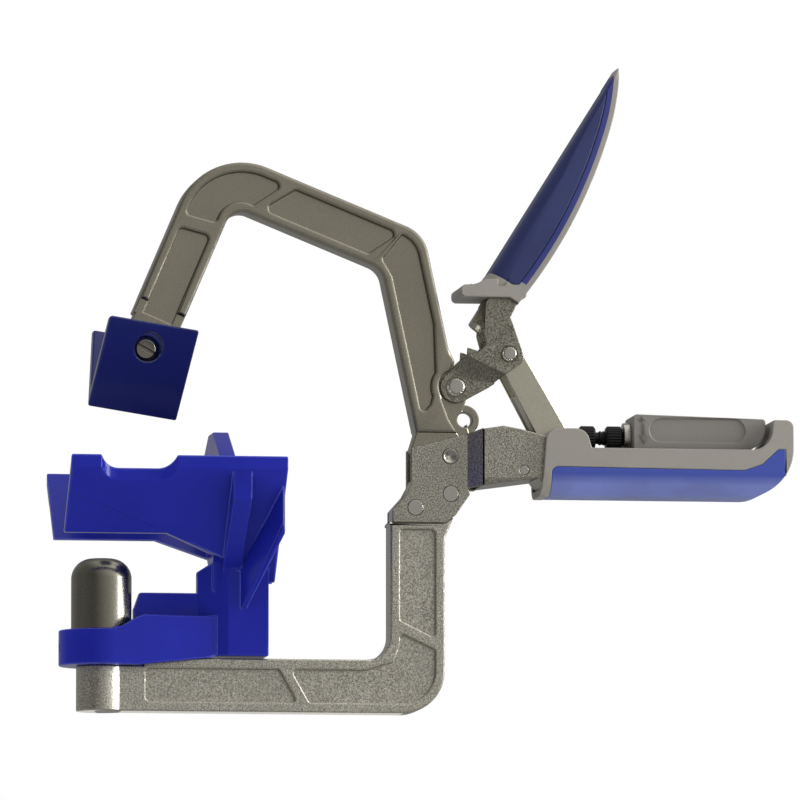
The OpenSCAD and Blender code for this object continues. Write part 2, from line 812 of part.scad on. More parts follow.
// Handle grip: side outline, inset by d along its lower edge
module grip_outline(d) {
    z = grip_z + d;
    x1 = grip_x1 - d;
    difference() {
        union() {
            eased([[grip_x0, z], [x1, z], [x1, tail_z], [x1 - 9, tail_z], [x1 - 10.4, wall_z],
                [hump_x, wall_z], [hump_x - 2.4, hump_z], [grip_x0 + 2.4, hump_z]], [0, 22 - d, 3.5, 0, 0, 0, 6, 5]);
            kite([x1 - 10.4, wall_z], heading([1.4, tail_z - wall_z]), 180, 9);
        }
    }
}

// Handle grip: section along the handle, inset by d
module grip_section(d) {
    h = grip_half - d;
    difference() {
        translate([-h, grip_z + d]) square([2 * h, 60]);
        kite([-h, grip_z + d], 0, 90, grip_r - d);
        kite([h, grip_z + d], 180, 90, grip_r - d);
    }
}

module grip_solid(d) {
    intersection() {
        slab(-grip_half + d, grip_half - d) grip_outline(d);
        along_x(grip_x0 - 5, grip_x1 + 5) grip_section(d);
    }
}

// Side view of the blue insert, grown by c
module inlay_area(c) {
    difference() {
        polygon([[grip_x0 + 4.4 - c, grip_z - 10], [grip_x0 + 4.4 - c, inlay_z + c], [grip_x1 - 22, inlay_z - 0.8 + c],
            [grip_x1 - 14, inlay_z + 2 + c], [grip_x1 - 7, inlay_z + 8.6 + c], [grip_x1 - 3.8 + c, inlay_z + 8.6 + c],
            [grip_x1 - 3.8 + c, grip_z - 10]]);
        kite([grip_x0 + 4.4 - c, inlay_z + c], -90, 0, 3);
    }
}

module handle_grip() {
    w = chan_out + seat;
    color("DimGray")
        difference() {
            grip_solid(0);
            difference() {
                slab(-60, 60) inlay_area(0);
                grip_solid(inlay_d);
            }
            // Seat of the channel, open toward the top
            intersection() {
                slab(-w, w)
                    polygon([[grip_x0 - 9, chan_z - seat], [chan_end + seat, chan_z - seat],
                        [chan_end + seat, 180], [grip_x0 - 9, 180]]);
                along_x(grip_x0 - 9, chan_end + 9)
                    difference() {
                        translate([-w, chan_z - seat]) square([2 * w, 90]);
                        kite([-w, chan_z - seat], 0, 90, 4.5);
                        kite([w, chan_z - seat], 180, 90, 4.5);
                    }
            }
            slab(-cover_half - 0.5, cover_half + 0.5)
                translate([cover_x0, wall_z - 2]) square([cover_x1 - cover_x0 + 0.3, 60]);
        }
}

module handle_grip_inlay() {
    color("MediumBlue")
        difference() {
            intersection() {
                grip_solid(0.15);
                slab(-60, 60) inlay_area(-seat);
            }
            grip_solid(inlay_d - seat);
        }
}

module adjuster_cover() {
    y = cover_half;
    zr = (wall_z + cover_z) / 2 + 0.8;
    hr = (cover_z - wall_z) / 2 - 2.6;
    color("DimGray")
        difference() {
            slab(-y, y)
                eased([[cover_x0, chan_z + 7], [cover_x1 - 10, chan_z + 7], [cover_x1 - 10, wall_z],
                    [cover_x1, wall_z], [cover_x1, cover_z - 1.6], [cover_x0, cover_z]], [0, 0, 0, 10, 1.5, 1.5]);
            pair(y - recess_d, y + 5) {
                translate([cover_x0 + 7 + hr, zr]) circle(r = hr);
                translate([cover_x1 - 9 - hr, zr]) circle(r = hr);
                translate([cover_x0 + 7 + hr, zr - hr]) square([cover_x1 - cover_x0 - 16 - 2 * hr, 2 * hr]);
            }
            bar(cover_x0 - 1, cover_x0 + 34, screw_z, screw_r + 0.6);
            bar(cover_x0 - 1, cover_x0 + 3, screw_z, collar_r - 1.4 + seat);
            for (x = [cover_x0 + 12, cover_x1 - 18])
                rod([x, wall_z - 8], 1.6 + seat, -40, 40);
        }
}

module cover_pins() {
    color("Gray")
        for (x = [cover_x0 + 12, cover_x1 - 18])
            rod([x, wall_z - 8], 1.6, -chan_out + 0.1, chan_out - 0.1);
}

module adjuster_collar() {
    color("LightGray")
        difference() {
            union() {
                bar(lock_x + lock_len + 0.4, cover_x0 - seat, screw_z, collar_r);
                bar(cover_x0 - 1, cover_x0 + 2.6, screw_z, collar_r - 1.4);
            }
            bar(lock_x, cover_x0 + 9, screw_z, screw_r + run);
        }
}

// Wheel with straight knurling and chamfered ends
module knurled(x0, len, n) {
    translate([x0, 0, screw_z])
        rotate([0, 90, 0])
            intersection() {
                linear_extrude(height = len)
                    polygon([for (i = [0 : 2 * n - 1]) (i % 2 == 0 ? wheel_r : wheel_r - 0.45) * dir(i * 180 / n)]);
                union() {
                    cylinder(r1 = wheel_r - 0.9, r2 = wheel_r + 0.1, h = 1);
                    translate([0, 0, 1]) cylinder(r = wheel_r + 0.1, h = len - 2);
                    translate([0, 0, len - 1]) cylinder(r1 = wheel_r + 0.1, r2 = wheel_r - 0.9, h = 1);
                }
            }
}

module lock_wheel() {
    color([0.12, 0.12, 0.12])
        difference() {
            knurled(lock_x, lock_len, 26);
            bar(lock_x - 1, lock_x + lock_len + 1, screw_z, screw_r + run);
        }
}

module adjust_screw() {
    x0 = wheel_x + 1.2;
    x1 = cover_x0 + 28;
    n = floor((x1 - x0 - wheel_len) / pitch);
    xt = x1 - n * pitch;
    color([0.15, 0.15, 0.15]) {
        bar(x0, xt, screw_z, screw_r - thread_d - 0.1);
        translate([xt, 0, screw_z])
            rotate([0, 90, 0])
                rotate_extrude()
                    polygon(concat([[0, n * pitch], [0, 0]],
                        [for (i = [0 : n - 1]) each [[screw_r - thread_d, i * pitch],
                            [screw_r, (i + 0.35) * pitch], [screw_r, (i + 0.65) * pitch]]],
                        [[screw_r - thread_d, n * pitch]]));
    }
}

module thumb_wheel() {
    color([0.12, 0.12, 0.12])
        difference() {
            knurled(wheel_x, wheel_len, 26);
            bar(wheel_x + 1, wheel_x + wheel_len + 1, screw_z, screw_r - thread_d - 0.1 + run);
        }
}

module spring_anchor() {
    color("Gray") rod(anchor, 2, -chan_out, chan_out);
}

// Spring: a coil between its two hooks
module return_spring() {
    a = eye + (eye_hole_r - wire_d / 2 - 0.12) * dir(-65);
    b = anchor + [0, 2 + wire_d / 2 + 0.15];
    d = b - a;
    ang = atan2(d[1], d[0]);
    l = norm(d);
    s = 12;
    e = 6;
    c = [for (i = [0 : turns * s]) [e + (l - 2 * e) * i / (turns * s), coil_r * cos(360 * i / s), coil_r * sin(360 * i / s)]];
    pts = concat([[0, -2, 0], [0, 3.9, 0], [4.6, 3.9, 0]], c, [[l - 3, 0.6, 1], [l, 0, 0.2]]);
    color("Gray")
        translate([a[0], 0, a[1]])
            rotate([0, -ang, 0])
                for (i = [0 : len(pts) - 2])
                    hull() {
                        translate(pts[i]) sphere(d = wire_d, $fn = 6);
                        translate(pts[i + 1]) sphere(d = wire_d, $fn = 6);
                    }
}

module lever() {
    q1 = p1 + [0.3, 10.2];
    q2 = p1 + [16.9, 2];
    r2 = p1 + [20.8, 5.2];
    r1 = r2 + q1 - q2;
    color("Silver")
        difference() {
            union() {
                pair(ear_in, ear_out) ear_outline(0);
                for (s = [-1, 1])
                    hull() {
                        slab(s > 0 ? ear_in : -ear_out, s > 0 ? ear_out : -ear_in)
                            polygon([q1, q2, q2 + [-0.3, -0.2], q1 + [-0.3, -0.2]]);
                        slab(s > 0 ? lever_in : -lever_out, s > 0 ? lever_out : -lever_in)
                            polygon([r1, r2, r2 + [0.3, 0.2], r1 + [0.3, 0.2]]);
                    }
                pair(lever_in, lever_out) lever_plate();
                // Folded back of the lever inside its grip
                translate([grip_o[0], 0, grip_o[1]])
                    rotate([0, 90 - lever_a, 0])
                        difference() {
                            translate([0, 0, -19])
                                linear_extrude(height = 54) back_section(0, 0);
                            translate([0, 0, -20])
                                linear_extrude(height = 56) back_section(-sheet, 2);
                        }
            }
            rod(p1, lug_pin_r + seat, -40, 40);
            rod(p2, knee_pin_r + seat, -40, 40);
        }
}

// Folded back of the lever, seen along the grip, grown by g
module back_section(g, open) {
    h = lever_out + g;
    v = back_v + g;
    difference() {
        translate([-v, -h]) square([v + 6.9 + open, 2 * h]);
        kite([-v, -h], 0, 90, 7 + g);
        kite([-v, h], 0, -90, 7 + g);
    }
}

// Lever plates beside the link, up into the grip
module lever_plate() {
    r2 = p1 + [20.8, 5.2];
    difference() {
        polygon([p1 + [4.2, 13.4], p1 + [4.4, 17], p1 + [9.9, 15.2], p1 + [13, 18.7], p1 + [11.6, 24], grip_o + [-8.5, -5.3], grip_o + [-0.5, 7.4],
            grip_o + [9, 1.4], grip_o + [8, -0.6], p1 + [23.5, 30.6], p1 + [28.4, 16.5], p1 + [29.9, 11.4], r2]);
        kite(p1 + [29.9, 11.4], 106, 214, 3);
    }
}

// Lever grip, in its own frame: u along the grip, v outward
module lever_side(d) {
    difference() {
        intersection() {
            lever_curve(d);
            translate([-2 + d, -14]) square([lever_len + 2 - 2 * d, 23.6 - d]);
        }
        kite([lever_len - d, 9.6 - d], 180, -90, 2);
    }
}

// Curved underside of the lever's grip, tighter toward the tip
module lever_curve(d) {
    o = [26, lever_arc - 9.7];
    a = asin((tip_u - o[0]) / lever_arc) - 90;
    intersection() {
        translate(o) circle(r = lever_arc - d, $fn = 200);
        union() {
            translate(o + (lever_arc - tip_arc) * dir(a)) circle(r = tip_arc - d + 0.012, $fn = 200);
            translate([-80, -40]) square([80 + tip_u, 90]);
        }
    }
}

// Finger guard under the lever's grip
module guard_side() {
    rotate(-lever_a)
        difference() {
            union() {
                translate([-20, -3.4]) square([29, 5.4]);
                translate([-15.5, 0]) square([12, 4.6]);
            }
            kite([-20, -3.4], 0, 90, 2.2);
            kite([-20, 2], 0, -90, 2.2);
            translate([-16.5, 13]) circle(r = 11);
        }
}

module lever_plan(d) {
    h = lever_half - d;
    difference() {
        polygon([[-40, -h - 1.4], [6, -h], [40, -h], [lever_len - d, -h + 5], [lever_len - d, h - 5], [40, h],
            [6, h], [-40, h + 1.4]]);
        kite([lever_len - d, -h + 5], 90, 184, 8);
        kite([lever_len - d, h - 5], -90, 176, 8);
    }
}

module at_grip() {
    translate([grip_o[0], 0, grip_o[1]])
        rotate([0, -lever_a, 0])
            children();
}

// The two long outer edges of the lever's grip are rounded
module lever_round(d) {
    h = lever_half - d;
    along_x(-60, lever_len + 10)
        difference() {
            translate([-h - 6, -20]) square([2 * h + 12, 60]);
            difference() {
                translate([-h - 6, 9.6 - d - 8]) square([14, 8]);
                translate([-h + 8, 9.6 - d - 8]) circle(r = 8);
            }
            difference() {
                translate([h - 8, 9.6 - d - 8]) square([14, 8]);
                translate([h - 8, 9.6 - d - 8]) circle(r = 8);
            }
        }
}

module lever_solid(d) {
    intersection() {
        slab(-30, 30) lever_side(d);
        translate([0, 0, -60]) linear_extrude(height = 120) lever_plan(d);
        lever_round(d);
    }
}

// Side view of the blue part of the lever's grip
module lever_inlay_area(c) {
    difference() {
        intersection() {
            lever_curve(5 - c);
            translate([3.4 - c, -14]) square([lever_len - 3.4 - tip_rim + 2 * c, 60]);
        }
        rotate(-lever_a) translate([-40, -30]) square([80, 32.2 - c]);
    }
}

module lever_grip() {
    color("DimGray")
        difference() {
            at_grip()
                difference() {
                    union() {
                        difference() {
                            lever_solid(0);
                            difference() {
                                slab(-60, 60) lever_inlay_area(0);
                                lever_solid(inlay_d);
                            }
                        }
                        intersection() {
                            slab(-30, 30) guard_side();
                            translate([0, 0, -60]) linear_extrude(height = 120) lever_plan(0);
                        }
                    }
                    // Seat of the folded lever
                    translate([-30, 0, 0])
                        rotate([0, 90, 0])
                            linear_extrude(height = 65 + seat)
                                difference() {
                                    back_section(seat, seat);
                                    back_section(-sheet - seat, 3);
                                }
                }
            for (k = [-1, 1])
                pair(lever_in - seat, lever_out + seat)
                    translate([k * seat, 0]) lever_plate();
        }
}

module lever_grip_inlay() {
    color("MediumBlue")
        at_grip()
            difference() {
                intersection() {
                    lever_solid(0.15);
                    slab(-60, 60) lever_inlay_area(-seat);
                }
                lever_solid(inlay_d - seat);
            }
}

// Rivet with a low domed head on each side
module headed(p, r, y, head_r, head_h) {
    rod(p, r, -y, y);
    for (s = [-1, 1])
        translate([p[0], s * y, p[1]])
            rotate([-90 * s, 0, 0]) {
                cylinder(r = head_r, h = head_h * 0.4);
                translate([0, 0, head_h * 0.4]) cylinder(r1 = head_r, r2 = head_r * 0.6, h = head_h * 0.6);
            }
}

module lever_rivet() {
    color("LightGray") headed(p1, lug_pin_r, ear_out, lug_pin_r + 1.2, 1.1);
}

module link_rivet() {
    color("LightGray") headed(p2, knee_pin_r, lever_out, knee_pin_r + 0.9, 1.3);
}

module link_outline() {
    d = p3 - p2;
    n = unit([-d[1], d[0]]);
    translate(p2) circle(r = link_r1);
    translate(p3) circle(r = link_r2);
    polygon([p2 + link_r1 * n, p3 + link_r2 * n, p3 - link_r2 * n, p2 - link_r1 * n]);
}

// Link folded from sheet: two plates and the bridge on their left edge
module toggle_link() {
    d = unit(p3 - p2);
    n = [-d[1], d[0]];
    l = norm(p3 - p2);
    w = (link_r1 + link_r2) / 2;
    color("Silver")
        difference() {
            union() {
                pair(link_in, link_out) link_outline();
                slab(-link_in - 0.5, link_in + 0.5)
                    polygon([p2 + l * 0.3 * d - (w - 0.8) * n, p2 + l * 0.6 * d - (w - 0.5) * n,
                        p2 + l * 0.6 * d - (w - 3) * n, p2 + l * 0.3 * d - (w - 3.2) * n]);
            }
            rod(p2, knee_pin_r + run, -40, 40);
            rod(p3, knee_pin_r + seat, -40, 40);
        }
}

module foot_pin() {
    color("LightGray") rod(p3, knee_pin_r, -link_out - 0.6, link_out + 0.6);
}

// Block that the link's foot pushes along the channel
module slide_block() {
    color("Gray")
        difference() {
            slab(-block_half, block_half)
                difference() {
                    translate(p3 - [7, 4.4]) square([14, 9.2]);
                    kite(p3 + [-7, -4.4], 0, 90, 1.5);
                    kite(p3 + [7, -4.4], 180, 90, 1.5);
                    kite(p3 + [7, 4.8], 180, -90, 2);
                    kite(p3 + [-7, 4.8], 0, -90, 2);
                }
            rod(p3, knee_pin_r + run, -40, 40);
        }
}

lower_jaw();
corner_post();
corner_block();
set_screw();
handle_channel();
frame_rivets();
main_pivot_pin();
handle_grip();
handle_grip_inlay();
adjuster_cover();
cover_pins();
adjuster_collar();
lock_wheel();
adjust_screw();
thumb_wheel();
spring_anchor();
return_spring();
upper_jaw();
pad();
pad_screw();
pad_nut();
lever();
lever_grip();
lever_grip_inlay();
lever_rivet();
link_rivet();
toggle_link();
foot_pin();
slide_block();
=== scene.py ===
import json
import math
import bmesh
import bpy
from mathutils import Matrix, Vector
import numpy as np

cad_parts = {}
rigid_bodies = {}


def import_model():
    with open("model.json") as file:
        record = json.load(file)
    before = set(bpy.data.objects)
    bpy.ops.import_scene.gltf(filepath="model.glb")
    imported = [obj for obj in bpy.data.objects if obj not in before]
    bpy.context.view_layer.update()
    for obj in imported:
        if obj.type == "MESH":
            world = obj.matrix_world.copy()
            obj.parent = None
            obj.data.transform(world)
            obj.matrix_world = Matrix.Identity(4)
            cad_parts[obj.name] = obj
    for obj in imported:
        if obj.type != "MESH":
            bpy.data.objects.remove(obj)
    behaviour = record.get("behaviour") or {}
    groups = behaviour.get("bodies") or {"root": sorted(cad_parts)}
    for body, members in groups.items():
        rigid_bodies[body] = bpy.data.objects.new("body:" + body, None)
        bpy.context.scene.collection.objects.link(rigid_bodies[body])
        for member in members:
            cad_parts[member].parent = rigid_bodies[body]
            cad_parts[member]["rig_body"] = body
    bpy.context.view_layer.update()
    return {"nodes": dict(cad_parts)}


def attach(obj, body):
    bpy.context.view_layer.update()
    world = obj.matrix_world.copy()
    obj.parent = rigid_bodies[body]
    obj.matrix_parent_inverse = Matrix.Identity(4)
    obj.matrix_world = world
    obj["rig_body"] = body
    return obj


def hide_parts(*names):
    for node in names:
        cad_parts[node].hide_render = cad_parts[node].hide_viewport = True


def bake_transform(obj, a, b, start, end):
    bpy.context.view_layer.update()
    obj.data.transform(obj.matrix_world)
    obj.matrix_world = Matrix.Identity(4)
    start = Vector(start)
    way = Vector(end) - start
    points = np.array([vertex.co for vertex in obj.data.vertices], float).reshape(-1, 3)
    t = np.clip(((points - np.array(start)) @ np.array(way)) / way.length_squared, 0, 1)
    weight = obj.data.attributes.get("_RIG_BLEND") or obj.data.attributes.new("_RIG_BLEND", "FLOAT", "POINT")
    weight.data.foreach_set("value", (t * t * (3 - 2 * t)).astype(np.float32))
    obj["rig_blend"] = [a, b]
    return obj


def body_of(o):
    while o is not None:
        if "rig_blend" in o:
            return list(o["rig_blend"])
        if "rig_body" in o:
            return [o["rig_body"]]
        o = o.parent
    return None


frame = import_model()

nodes = frame["nodes"]
mm = 0.001
bpy.ops.object.select_all(action="DESELECT")
print("frame loaded:", len(nodes), "solids")


class Flow:
    # a socket that takes part in sums
    def __init__(self, tree, socket):
        self.tree = tree
        self.socket = socket

    def maths(self, operation, other=None, swap=False):
        made = self.tree.nodes.new("ShaderNodeMath")
        made.operation = operation
        values = [self, other] if not swap else [other, self]
        for slot, value in zip(made.inputs, values):
            if isinstance(value, Flow):
                self.tree.links.new(value.socket, slot)
            elif value is not None:
                slot.default_value = value
        return Flow(self.tree, made.outputs[0])

    def __add__(self, other):
        return self.maths("ADD", other)

    def __radd__(self, other):
        return self.maths("ADD", other)

    def __sub__(self, other):
        return self.maths("SUBTRACT", other)

    def __rsub__(self, other):
        return self.maths("SUBTRACT", other, swap=True)

    def __mul__(self, other):
        return self.maths("MULTIPLY", other)

    def __rmul__(self, other):
        return self.maths("MULTIPLY", other)

    def __truediv__(self, other):
        return self.maths("DIVIDE", other)


class Finish:
    # one node tree being built
    def __init__(self, tree):
        self.tree = tree
        tree.nodes.clear()

    def add(self, kind, settings=None, links=None, out=0):
        made = self.tree.nodes.new("ShaderNode" + kind)
        for key, value in (settings or {}).items():
            if key == "stops":
                for stop, (place, shade) in zip(made.color_ramp.elements, value):
                    stop.position = place
                    stop.color = (shade, shade, shade, 1)
            else:
                setattr(made, key, value)
        for key, value in (links or {}).items():
            if isinstance(value, Flow):
                self.tree.links.new(value.socket, made.inputs[key])
            else:
                made.inputs[key].default_value = value
        return Flow(self.tree, made.outputs[out]) if made.outputs else None

    def noise(self, scale, detail=3, roughness=0.55):
        where = self.add("TexCoord", out="Object")
        values = {"Vector": where, "Scale": scale, "Detail": detail, "Roughness": roughness}
        return self.add("TexNoise", links=values)

    def specks(self, scale):
        where = self.add("TexCoord", out="Object")
        return self.add("TexVoronoi", {"feature": "F1"}, {"Vector": where, "Scale": scale})

    def ramp(self, value, low, high, first=0.0, last=1.0):
        return self.add("ValToRGB", {"stops": [(low, first), (high, last)]}, {"Fac": value})

    def blend(self, share, first, second):
        # inputs 6 and 7 of a Mix node are its two colours
        return self.add("Mix", {"data_type": "RGBA"}, {0: share, 6: first, 7: second}, out=2)

    def bump(self, height, strength, depth):
        return self.add("Bump", links={"Height": height, "Strength": strength, "Distance": depth})

    def edges(self, reach):
        # 0 on flats, rising to 1 where the surface turns a corner
        soft = self.add("Bevel", {"samples": 4}, {"Radius": reach})
        flat = self.add("NewGeometry", out="Normal")
        same = self.add("VectorMath", {"operation": "DOT_PRODUCT"}, {0: soft, 1: flat}, out="Value")
        return self.ramp(1 - same, 0.02, 0.22)

    def surface(self, links, constants):
        shader = self.add("BsdfPrincipled", links={**links, **constants})
        self.add("OutputMaterial", links={"Surface": shader})


def newFinish(name):
    made = bpy.data.materials.new(name)
    made.use_nodes = True
    return made, Finish(made.node_tree)


def tint(r, g, b):
    return (r, g, b, 1)


def toned(shade, share):
    # the same hue, darker or paler
    return tint(*[min(1, c * share) for c in shade])


def castNickel(name, shade, grain, gloss):
    # plated casting with the sand grain showing through
    made, f = newFinish(name)
    broad = f.noise(45, 3)
    fine = f.noise(grain["size"], 4, 0.65)
    pits = f.ramp(f.specks(grain["size"] * 0.8), 0.05, 0.42)
    wearAndHighlight = f.edges(0.9 * mm)
    deep, pale = 1 - grain["contrast"], 1 + grain["contrast"]
    base = f.blend(f.ramp(fine, 0.38, 0.62), toned(shade, deep), toned(shade, pale))
    base = f.blend(f.ramp(broad, 0.3, 0.7) * 0.35, base, toned(shade, 0.8))
    # edges lightened: partly rubbed bright, partly a painted highlight along the rims
    base = f.blend(wearAndHighlight * 0.75, base, toned(shade, 1.75))
    rough = gloss + 0.16 * (fine - 0.5) - 0.1 * wearAndHighlight + 0.1 * (1 - pits)
    height = fine * 0.7 + pits * 0.5
    normal = f.bump(height, grain["strength"], grain["depth"])
    f.surface({"Base Color": base, "Roughness": rough, "Normal": normal}, {"Metallic": 1.0})
    return made


def paintedCobalt(name, shade):
    # thick gloss enamel over a casting, with slight orange peel and a painted highlight along its edges
    made, f = newFinish(name)
    peel = f.noise(260, 2)
    cloud = f.noise(28, 2)
    wearAndHighlight = f.edges(1.1 * mm)
    base = f.blend(f.ramp(cloud, 0.3, 0.7), toned(shade, 0.9), toned(shade, 1.08))
    # painted highlight: corners and rims are tinted pale blue
    base = f.blend(wearAndHighlight * 0.8, base, tint(shade[0] + 0.13, shade[1] + 0.15, min(1, shade[2] * 2.4)))
    rough = 0.17 + 0.07 * f.ramp(cloud, 0.35, 0.75)
    normal = f.bump(peel, 0.12, 0.25 * mm)
    f.surface({"Base Color": base, "Roughness": rough, "Normal": normal},
              {"Coat Weight": 0.16, "Coat Roughness": 0.06, "Coat IOR": 1.3, "IOR": 1.25})
    return made


def softBlue(name, shade, gloss, paintedLight=None):
    # overmoulded insert, satin, with a very fine moulded grain
    made, f = newFinish(name)
    grain = f.noise(2600, 2)
    cloud = f.noise(38, 3)
    wearAndHighlight = f.edges(0.8 * mm)
    base = f.blend(f.ramp(cloud, 0.3, 0.72), toned(shade, 0.85), toned(shade, 1.15))
    # painted light: paler low down and darker high up
    if paintedLight:
        where = f.add("TexCoord", out="Object")
        z = f.add("SeparateXYZ", links={0: where}, out="Z")
        height = (z - paintedLight["low"]) / (paintedLight["high"] - paintedLight["low"])
        base = f.blend(f.ramp(height, 0.0, 1.0), base, tint(*paintedLight["shade"]))
    # edges lightened: partly wear, partly a painted highlight
    base = f.blend(wearAndHighlight * 0.35, base, toned(shade, 1.8))
    rough = gloss + 0.08 * (cloud - 0.5)
    normal = f.bump(grain, 0.16, 0.12 * mm)
    f.surface({"Base Color": base, "Roughness": rough, "Normal": normal},
              {"Coat Weight": 0.12, "Coat Roughness": 0.25})
    return made


def sideBand(f, sizes):
    # 1 on the sides of the lever's grip, 0 on its outer rim, its guard and its tip
    where = f.add("TexCoord", out="Object")
    x = f.add("SeparateXYZ", links={0: where}, out="X")
    z = f.add("SeparateXYZ", links={0: where}, out="Z")
    along = (x - sizes["foot"][0]) * sizes["run"][0] + (z - sizes["foot"][1]) * sizes["run"][1]
    inside = []
    for centreX, centreZ, radius in (sizes["arc"], sizes["tipArc"]):
        dx, dz = x - centreX, z - centreZ
        inside.append((dx * dx + dz * dz).maths("LESS_THAN", (radius - sizes["rim"]) ** 2))
    low = along.maths("LESS_THAN", sizes["tipFrom"])
    ends = along.maths("GREATER_THAN", sizes["from"]) * along.maths("LESS_THAN", sizes["to"])
    return inside[0] * low.maths("MAXIMUM", inside[1]) * ends


def greyMoulding(name, shade, band=None):
    # glass-filled plastic with spark-eroded texture
    made, f = newFinish(name)
    spark = f.noise(3100, 3, 0.7)
    cloud = f.noise(30, 3)
    wearAndHighlight = f.edges(0.7 * mm)
    base = f.blend(f.ramp(spark, 0.3, 0.7), toned(shade, 0.9), toned(shade, 1.1))
    base = f.blend(f.ramp(cloud, 0.35, 0.75) * 0.3, base, toned(shade, 0.85))
    # edges lightened: partly wear, partly a painted highlight
    base = f.blend(wearAndHighlight * 0.5, base, toned(shade, 1.5))
    if band:
        base = f.blend(sideBand(f, band), base, tint(*band["shade"]))
    rough = 0.5 + 0.12 * (spark - 0.5)
    normal = f.bump(spark, 0.22, 0.12 * mm)
    f.surface({"Base Color": base, "Roughness": rough, "Normal": normal}, {"IOR": 1.48})
    return made


def blackOxide(name):
    # oiled black steel, lighter on the crests, partly rubbed bright and partly a painted highlight
    made, f = newFinish(name)
    smear = f.noise(420, 4, 0.6)
    wearAndHighlight = f.edges(0.35 * mm)
    base = f.blend(wearAndHighlight * 0.4, tint(0.012, 0.012, 0.012), tint(0.1, 0.097, 0.088))
    rough = 0.34 + 0.2 * (smear - 0.5)
    normal = f.bump(smear, 0.1, 0.1 * mm)
    f.surface({"Base Color": base, "Roughness": rough, "Normal": normal}, {"Metallic": 0.6})
    return made


castGrain = {"size": 1900, "strength": 0.16, "depth": 0.12 * mm, "contrast": 0.12}
coarseGrain = {"size": 1650, "strength": 0.5, "depth": 0.2 * mm, "contrast": 0.55}
blastGrain = {"size": 1600, "strength": 0.6, "depth": 0.22 * mm, "contrast": 0.64}
drawnGrain = {"size": 3600, "strength": 0.08, "depth": 0.05 * mm, "contrast": 0.1}
# painted light: the handle's insert is painted paler toward its underside and darker above, for light
# reflected from below
insertPaintedLight = {"low": 101 * mm, "high": 105.5 * mm, "shade": (0.022, 0.042, 0.24)}
# arcs are centre X, centre Z and radius
bandSizes = {
    "foot": (177.0 * mm, 186.6 * mm),
    "run": (0.5299, 0.848),
    "arc": (3.95 * mm, 325.4 * mm, 230 * mm),
    "tipArc": (118.6 * mm, 290.0 * mm, 110 * mm),
    "rim": 2.4 * mm,
    "tipFrom": 85 * mm,
    "from": 6.5 * mm,
    "to": 110 * mm,
    "shade": (0.013, 0.019, 0.12),
}
finishes = {
    "cast": castNickel("satinNickelCasting", (0.35, 0.325, 0.255), castGrain, 0.29),
    "coarse": castNickel("blastedNickelCasting", (0.57, 0.545, 0.46), coarseGrain, 0.31),
    "stamped": castNickel("blastedSheetSteel", (0.42, 0.4, 0.335), blastGrain, 0.32),
    "bright": castNickel("turnedSteel", (0.5, 0.485, 0.43), drawnGrain, 0.26),
    "spring": castNickel("springWire", (0.46, 0.45, 0.41), drawnGrain, 0.24),
    # painted shade: a darker copy of the sheet steel, for the lever lying in the shade of its grip
    "leverShadedSteel": castNickel("leverSheetSteelPaintedShade", (0.3, 0.285, 0.23), blastGrain, 0.32),
    "linkSteel": castNickel("linkSteel", (0.58, 0.55, 0.44), castGrain, 0.34),
    "postSteel": castNickel("postSteel", (0.25, 0.235, 0.195), castGrain, 0.25),
    "blue_paint": paintedCobalt("cobaltEnamel", (0.009, 0.014, 0.245)),
    # painted shade: a darker copy of the cobalt enamel, for the pad facing slightly down
    "padShadedBlue": paintedCobalt("padEnamelPaintedShade", (0.009, 0.013, 0.095)),
    "leverBlue": softBlue("leverBlueInsert", (0.007, 0.013, 0.07), 0.45),
    "blue_insert": softBlue("satinBlueInsert", (0.1, 0.125, 0.33), 0.4, insertPaintedLight),
    "grey_moulding": greyMoulding("greyGripMoulding", (0.2, 0.188, 0.166)),
    # painted shade: the sign is darker than its cover, for the shadow lines round the raised arrow
    "signShadedGrey": greyMoulding("signMouldingPaintedShade", (0.095, 0.09, 0.082)),
    "coverGrey": greyMoulding("coverMoulding", (0.15, 0.141, 0.128)),
    "gripTwoTone": greyMoulding("leverGripMoulding", (0.2, 0.188, 0.166), bandSizes),
    "black": blackOxide("blackOxideSteel"),
}
print("finishes:", len(finishes))


def select(piece):
    bpy.ops.object.select_all(action="DESELECT")
    piece.select_set(True)
    bpy.context.view_layer.objects.active = piece


def copyOf(node, name, finish, crumb):
    # a merged copy of the solid, left in edit mode with everything selected
    mesh = nodes[node].data.copy()
    mesh.name = name
    piece = bpy.data.objects.new(name, mesh)
    bpy.context.scene.collection.objects.link(piece)
    mesh.materials.clear()
    mesh.materials.append(finishes[finish])
    select(piece)
    bpy.ops.object.mode_set(mode="EDIT")
    bpy.ops.mesh.select_all(action="SELECT")
    bpy.ops.mesh.remove_doubles(threshold=crumb * mm)
    return piece


# angles in degrees, crumb in mm
easeSizes = {"segments": 2, "sharpest": 145, "bluntest": 32, "flat": 0.6, "smooth": 48, "smoothOutward": 30,
             "crumb": 0.004, "onTop": 0.05 * mm}


def weighEdges(mesh, wallTop, rimShare, outward):
    # every real edge is eased, and a pocket's rim gets a wider slope
    bluntest = math.radians(easeSizes["bluntest"])
    sharpest = math.radians(easeSizes["sharpest"])
    work = bmesh.new()
    work.from_mesh(mesh)
    weight = work.edges.layers.float.new("bevel_weight_edge")
    for edge in work.edges:
        if len(edge.link_faces) != 2 or not bluntest < edge.calc_face_angle() < sharpest:
            continue
        if outward and not edge.is_convex:
            continue
        edge[weight] = rimShare
        if wallTop:
            walls = [f for f in edge.link_faces if abs(f.normal.y) < 0.5]
            onTop = all(abs(abs(v.co.y) - wallTop["top"]) < easeSizes["onTop"] for v in edge.verts)
            if onTop and len(walls) == 1:
                lowest = min(abs(v.co.y) for v in walls[0].verts)
                if lowest > wallTop["floor"]:
                    edge[weight] = 1.0
    work.to_mesh(mesh)
    work.free()


